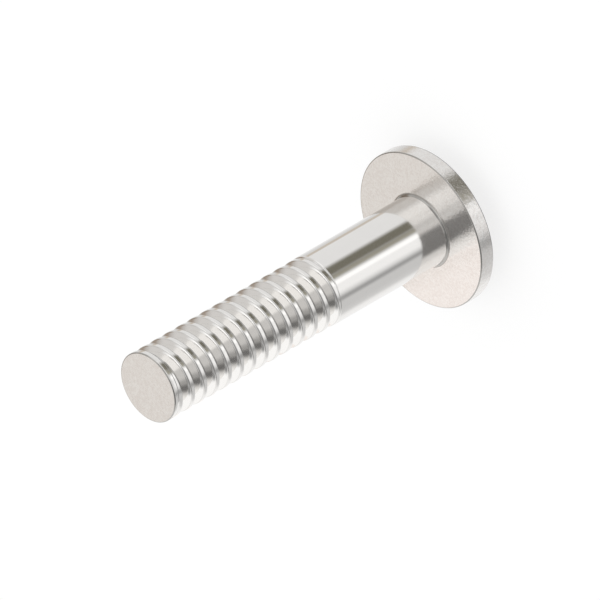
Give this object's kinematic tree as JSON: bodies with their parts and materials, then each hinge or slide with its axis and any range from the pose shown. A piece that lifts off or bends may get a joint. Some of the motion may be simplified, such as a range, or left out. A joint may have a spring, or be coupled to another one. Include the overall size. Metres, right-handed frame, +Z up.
{
  "type": "hex socket flange screw",
  "caption": "Partly threaded steel screw with a plain shank, a wide flat flange under a low domed head, and a hexagon key socket.",
  "frame": {"origin": "bottom centre of the box round the screw as it stands on its head, which is on the screw's own axis", "axes": "+Z is up, from the head to the tip, along the screw's own axis. +X and +Y are across"},
  "size_m": [0.0178, 0.0178, 0.0444],
  "materials": {
    "plated_steel": "bright plated steel, smooth on the turned shank and slightly grained on the flat faces"
  },
  "bodies": {
    "root": {"screw": "plated_steel"}
  },
  "joints": []
}
